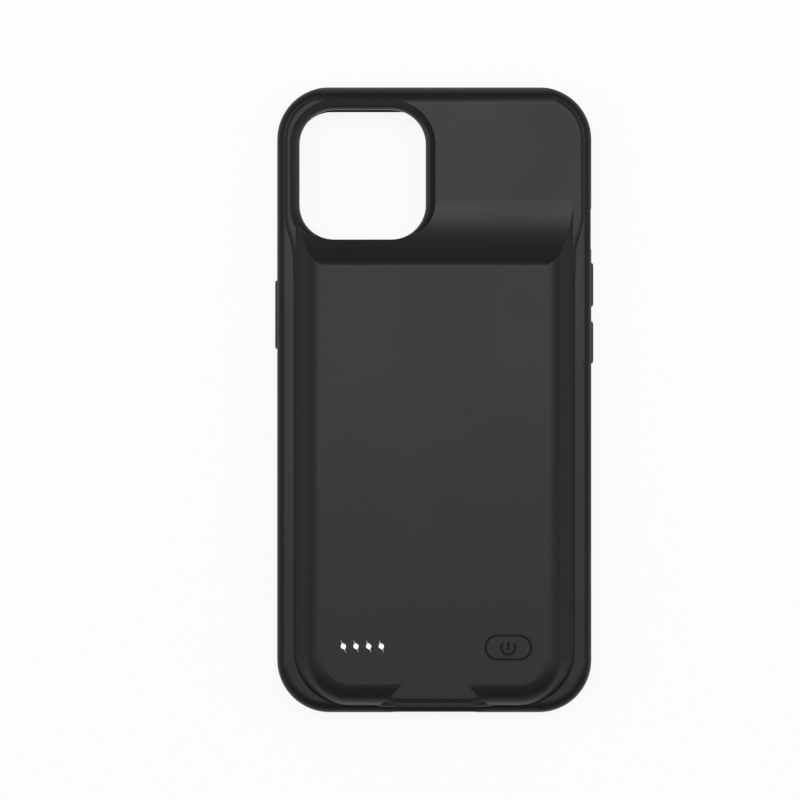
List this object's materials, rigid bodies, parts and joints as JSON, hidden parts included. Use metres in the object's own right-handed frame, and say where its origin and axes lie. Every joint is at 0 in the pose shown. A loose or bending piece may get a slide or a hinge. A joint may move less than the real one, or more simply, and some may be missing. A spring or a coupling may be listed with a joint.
{
  "type": "battery charging case",
  "caption": "Black battery charging case for a flat phone, with a stepped battery hump, an open camera window, a power button, charge lights and side keys.",
  "frame": {"origin": "centre of the case's outline, on the plane of the front lip that it lies on", "axes": "+Z towards the back of the case, up as it lies face down; +Y towards the camera end; +X towards the side with the volume keys"},
  "size_m": [0.0782, 0.1538, 0.0144],
  "materials": {
    "soft_frame": "soft satin, slightly grippy elastomer",
    "hard_cover": "fine matt soft-touch moulding",
    "inner_plate": "plain matt moulding",
    "key_caps": "satin moulding",
    "pouch_foil": "embossed aluminium laminate",
    "white_tape": "double-sided tape with a foam core",
    "circuit_board": "solder mask over glass-fibre laminate",
    "chip_resin": "moulded epoxy",
    "ferrite": "pressed ferrite",
    "ceramic_part": "fired ceramic with tinned ends",
    "nickel_steel": "drawn and nickel-plated steel",
    "gold_contacts": "gold-plated copper alloy",
    "red_lead": "silicone insulation",
    "black_lead": "silicone insulation",
    "amber_film": "polyimide film",
    "white_light": "moulded clear diffuser, lit from behind"
  },
  "bodies": {
    "case": {"bumper_frame": "soft_frame", "rear_cover": "hard_cover", "inner_plate": "inner_plate", "cell_tape": "white_tape", "battery_cell": "pouch_foil", "cell_board": "circuit_board", "cell_tabs": "nickel_steel", "lead_negative": "black_lead", "lead_positive": "red_lead", "main_board": "circuit_board", "charge_chip": "chip_resin", "boost_chip": "chip_resin", "inductor": "ferrite", "capacitors": "ceramic_part", "tact_switch": "nickel_steel", "charge_port_shell": "nickel_steel", "charge_port_tongue": "chip_resin", "plug_base": "key_caps", "plug_board": "circuit_board", "phone_plug": "nickel_steel", "plug_contacts": "gold_contacts", "flex_cable": "amber_film", "board_screws": "nickel_steel", "led_1": "white_light", "light_pipe_1": "white_light", "led_2": "white_light", "light_pipe_2": "white_light", "led_3": "white_light", "light_pipe_3": "white_light", "led_4": "white_light", "light_pipe_4": "white_light"},
    "power_button": {"power_button": "key_caps", "switch_plunger": "chip_resin"},
    "volume_up_key": {"volume_up_key": "key_caps"},
    "volume_down_key": {"volume_down_key": "key_caps"},
    "side_key": {"side_key": "key_caps"}
  },
  "joints": [
    {"name": "power_button_press", "type": "slide", "parent": "case", "child": "power_button", "axis": [0, 0, -1], "range_m": [0, 0.0003], "stiffness_N_per_m": 1500},
    {"name": "volume_up_press", "type": "slide", "parent": "case", "child": "volume_up_key", "axis": [-1, 0, 0], "range_m": [0, 0.0004], "stiffness_N_per_m": 1000},
    {"name": "volume_down_press", "type": "slide", "parent": "case", "child": "volume_down_key", "axis": [-1, 0, 0], "range_m": [0, 0.0004], "stiffness_N_per_m": 1000},
    {"name": "side_key_press", "type": "slide", "parent": "case", "child": "side_key", "axis": [1, 0, 0], "range_m": [0, 0.0004], "stiffness_N_per_m": 1000}
  ]
}
